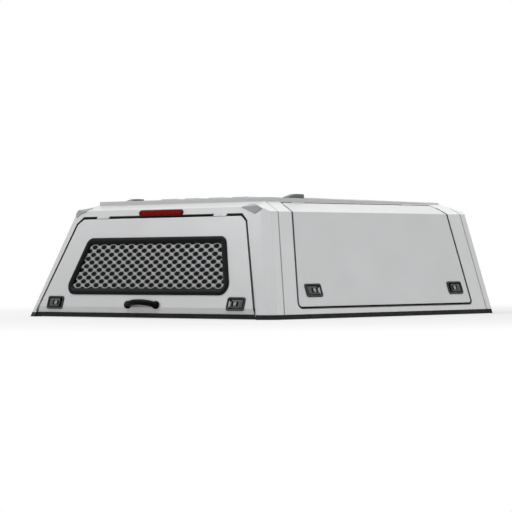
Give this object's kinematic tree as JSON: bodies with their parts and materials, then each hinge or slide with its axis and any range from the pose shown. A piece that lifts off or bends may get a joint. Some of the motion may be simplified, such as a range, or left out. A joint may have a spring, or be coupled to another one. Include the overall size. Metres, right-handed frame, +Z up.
{
  "type": "pickup truck canopy",
  "caption": "Sheet-steel pickup bed canopy with top-hinged rear door, mesh-covered rear window, wrap-over side doors, paddle latches and a low ribbed roof.",
  "frame": {"origin": "middle of the footprint, on the underside of the base seal", "axes": "+Y forward (towards the cab), +X to the vehicle's right, +Z up"},
  "size_m": [1.618, 1.677, 0.5693],
  "materials": {
    "silver_paint": "satin silver-grey paint",
    "primed_steel": "satin grey primer",
    "mesh_steel": "grey powder coat",
    "window_frame_black": "semi-gloss black",
    "tinted_glass": "dark tint",
    "black_rubber": "matt",
    "black_plastic": "semi-gloss black",
    "red_lens": "clear red",
    "anodised_aluminium": "satin anodised",
    "grey_plate": "satin grey"
  },
  "bodies": {
    "shell": {"base_seal_front": "black_rubber", "base_seal_left": "black_rubber", "base_seal_right": "black_rubber", "brake_light_bezel": "black_plastic", "brake_light_lens": "red_lens", "clamp_rail_left": "primed_steel", "clamp_rail_right": "primed_steel", "corner_plates": "grey_plate", "front_rail": "primed_steel", "front_wall": "silver_paint", "front_window_gasket": "black_rubber", "front_window_glass": "tinted_glass", "hinge_leaves_fixed": "silver_paint", "rear_door_frame": "silver_paint", "rear_door_seal": "black_rubber", "rear_header": "silver_paint", "rear_pillar_left": "silver_paint", "rear_pillar_right": "silver_paint", "roof_bows": "primed_steel", "roof_panel": "silver_paint", "roof_tracks": "anodised_aluminium", "side_door_frame_left": "silver_paint", "side_door_frame_right": "silver_paint", "side_door_seals": "black_rubber", "side_panel_left": "silver_paint", "side_panel_right": "silver_paint"},
    "rear_door": {"pull_handle": "black_plastic", "rear_door_bottom_seal": "black_rubber", "rear_door_hinge_leaves": "silver_paint", "rear_door_inner_frame": "silver_paint", "rear_door_skin": "silver_paint", "rear_latch_housings": "black_plastic", "rear_window_frame": "window_frame_black", "rear_window_glass": "tinted_glass", "rear_window_mesh": "mesh_steel"},
    "side_door_right": {"side_door_hinge_leaves_right": "silver_paint", "side_door_inner_frame_right": "silver_paint", "side_door_skin_right": "silver_paint", "side_latch_housings_right": "black_plastic"},
    "side_door_left": {"side_door_hinge_leaves_left": "silver_paint", "side_door_inner_frame_left": "silver_paint", "side_door_skin_left": "silver_paint", "side_latch_housings_left": "black_plastic"},
    "rear_latch_paddle_left": {"rear_latch_paddle_left": "black_plastic"},
    "rear_latch_paddle_right": {"rear_latch_paddle_right": "black_plastic"},
    "side_latch_paddle_left_front": {"side_latch_paddle_left_front": "black_plastic"},
    "side_latch_paddle_left_rear": {"side_latch_paddle_left_rear": "black_plastic"},
    "side_latch_paddle_right_front": {"side_latch_paddle_right_front": "black_plastic"},
    "side_latch_paddle_right_rear": {"side_latch_paddle_right_rear": "black_plastic"}
  },
  "joints": [
    {"name": "rear_door_hinge", "type": "hinge", "parent": "shell", "child": "rear_door", "pos_m": [0, -0.68099, 0.46787], "axis": [-1, 0, 0], "range_deg": [0, 85]},
    {"name": "side_door_right_hinge", "type": "hinge", "parent": "shell", "child": "side_door_right", "pos_m": [0.55878, 0, 0.52722], "axis": [0, -1, 0], "range_deg": [0, 85]},
    {"name": "side_door_left_hinge", "type": "hinge", "parent": "shell", "child": "side_door_left", "pos_m": [-0.55878, 0, 0.52722], "axis": [0, 1, 0], "range_deg": [0, 85]},
    {"name": "rear_latch_right_paddle", "type": "hinge", "parent": "rear_door", "child": "rear_latch_paddle_right", "pos_m": [0.633, -0.80075, 0.06896], "axis": [0, 0.2875, 0.9578], "range_deg": [0, 35], "stiffness_Nm_per_rad": 0.6, "springref_deg": -8.59},
    {"name": "side_latch_right_rear_paddle", "type": "hinge", "parent": "side_door_right", "child": "side_latch_paddle_right_rear", "pos_m": [0.76474, -0.51345, 0.12648], "axis": [0.3303, 0, -0.9439], "range_deg": [0, 35], "stiffness_Nm_per_rad": 0.6, "springref_deg": -8.59},
    {"name": "side_latch_right_front_paddle", "type": "hinge", "parent": "side_door_right", "child": "side_latch_paddle_right_front", "pos_m": [0.76474, 0.59255, 0.12648], "axis": [-0.3303, 0, 0.9439], "range_deg": [0, 35], "stiffness_Nm_per_rad": 0.6, "springref_deg": -8.59},
    {"name": "rear_latch_left_paddle", "type": "hinge", "parent": "rear_door", "child": "rear_latch_paddle_left", "pos_m": [-0.633, -0.80075, 0.06896], "axis": [0, -0.2875, -0.9578], "range_deg": [0, 35], "stiffness_Nm_per_rad": 0.6, "springref_deg": -8.59},
    {"name": "side_latch_left_rear_paddle", "type": "hinge", "parent": "side_door_left", "child": "side_latch_paddle_left_rear", "pos_m": [-0.76474, -0.51345, 0.12648], "axis": [0.3303, 0, 0.9439], "range_deg": [0, 35], "stiffness_Nm_per_rad": 0.6, "springref_deg": -8.59},
    {"name": "side_latch_left_front_paddle", "type": "hinge", "parent": "side_door_left", "child": "side_latch_paddle_left_front", "pos_m": [-0.76474, 0.59255, 0.12648], "axis": [-0.3303, 0, -0.9439], "range_deg": [0, 35], "stiffness_Nm_per_rad": 0.6, "springref_deg": -8.59}
  ]
}
